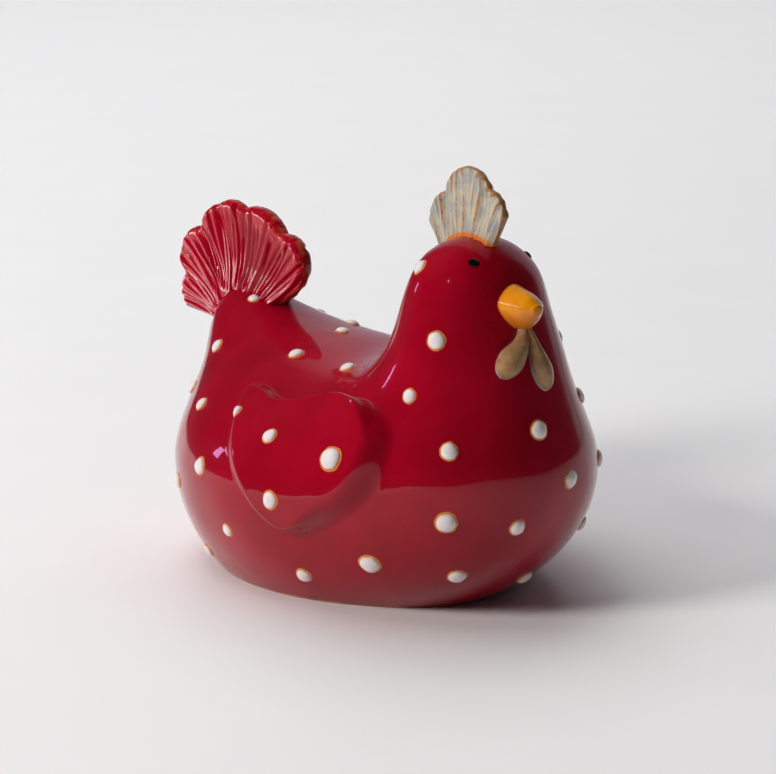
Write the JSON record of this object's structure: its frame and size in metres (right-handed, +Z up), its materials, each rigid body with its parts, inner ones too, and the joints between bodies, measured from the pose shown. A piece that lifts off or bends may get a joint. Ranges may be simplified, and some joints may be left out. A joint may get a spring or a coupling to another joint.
{
  "type": "ceramic hen ornament",
  "caption": "Hollow glazed ceramic hen ornament with a fluted comb and tail fan, raised wings and raised slip dots, standing on a flat foot.",
  "frame": {"origin": "on the surface that the hen stands on, below the middle of its length and width", "axes": "+X the way the hen faces, +Z up, -Y the hen's right side"},
  "size_m": [0.2065, 0.1348, 0.147],
  "materials": {
    "red_glaze": "deep crimson gloss glaze",
    "comb_glaze": "tan and grey-blue gloss glaze",
    "amber_glaze": "amber gloss glaze",
    "wattle_glaze": "tan gloss glaze with grey-blue pools",
    "black_glaze": "black gloss glaze",
    "white_slip": "white slip under clear gloss glaze"
  },
  "bodies": {
    "root": {"body_shell": "red_glaze", "wing_right": "red_glaze", "wing_left": "red_glaze", "tail_fan": "red_glaze", "comb": "comb_glaze", "beak": "amber_glaze", "wattle_right": "wattle_glaze", "wattle_left": "wattle_glaze", "eye_right": "black_glaze", "eye_left": "black_glaze", "dots_neck": "white_slip", "dots_breast": "white_slip", "dots_right_flank": "white_slip", "dots_left_flank": "white_slip", "dots_back": "white_slip", "dots_rear": "white_slip", "dots_tail": "white_slip", "dots_right_wing": "white_slip", "dots_left_wing": "white_slip"}
  },
  "joints": []
}
